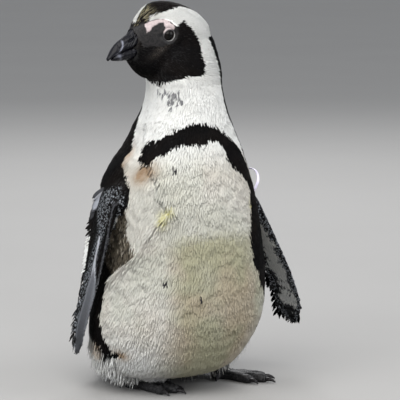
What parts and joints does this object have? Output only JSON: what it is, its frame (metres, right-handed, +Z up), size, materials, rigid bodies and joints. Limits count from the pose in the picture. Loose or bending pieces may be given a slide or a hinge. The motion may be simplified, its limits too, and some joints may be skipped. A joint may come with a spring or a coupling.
{
  "type": "african penguin",
  "caption": "Life-size African penguin that stands upright on both webbed feet, looks over its right shoulder, and wears a white band on its left flipper.",
  "frame": {"origin": "on the floor, below the middle of the whole bird's box", "axes": "+Z up, the breast faces -Y, and the bird's left side is +X"},
  "size_m": [0.2837, 0.2434, 0.446],
  "materials": {
    "white_feather": "white and cream feathers, soft and matt, with dark marks where the bird has them",
    "black_feather": "black and brown-grey feathers, slightly glossy",
    "horn": "black ridged horn of the bill, with a pale streak near the hook",
    "bare_skin": "wrinkled dark skin of the feet and the face, pink above the eye",
    "eye": "wet, very dark brown",
    "claw": "worn black horn",
    "band": "white plastic with a faint lilac tint"
  },
  "bodies": {
    "root": {"trunk": "white_feather", "neck": "white_feather", "head": "black_feather", "tail": "black_feather", "wing_left": "black_feather", "wing_right": "black_feather", "bill_upper": "horn", "bill_lower": "horn", "eye_left": "eye", "eye_right": "eye", "leg_left": "bare_skin", "leg_right": "bare_skin", "foot_left": "bare_skin", "foot_right": "bare_skin", "claw_left_inner": "claw", "claw_left_middle": "claw", "claw_left_outer": "claw", "claw_left_hind": "claw", "claw_right_inner": "claw", "claw_right_middle": "claw", "claw_right_outer": "claw", "claw_right_hind": "claw", "flipper_band": "band"}
  },
  "joints": []
}
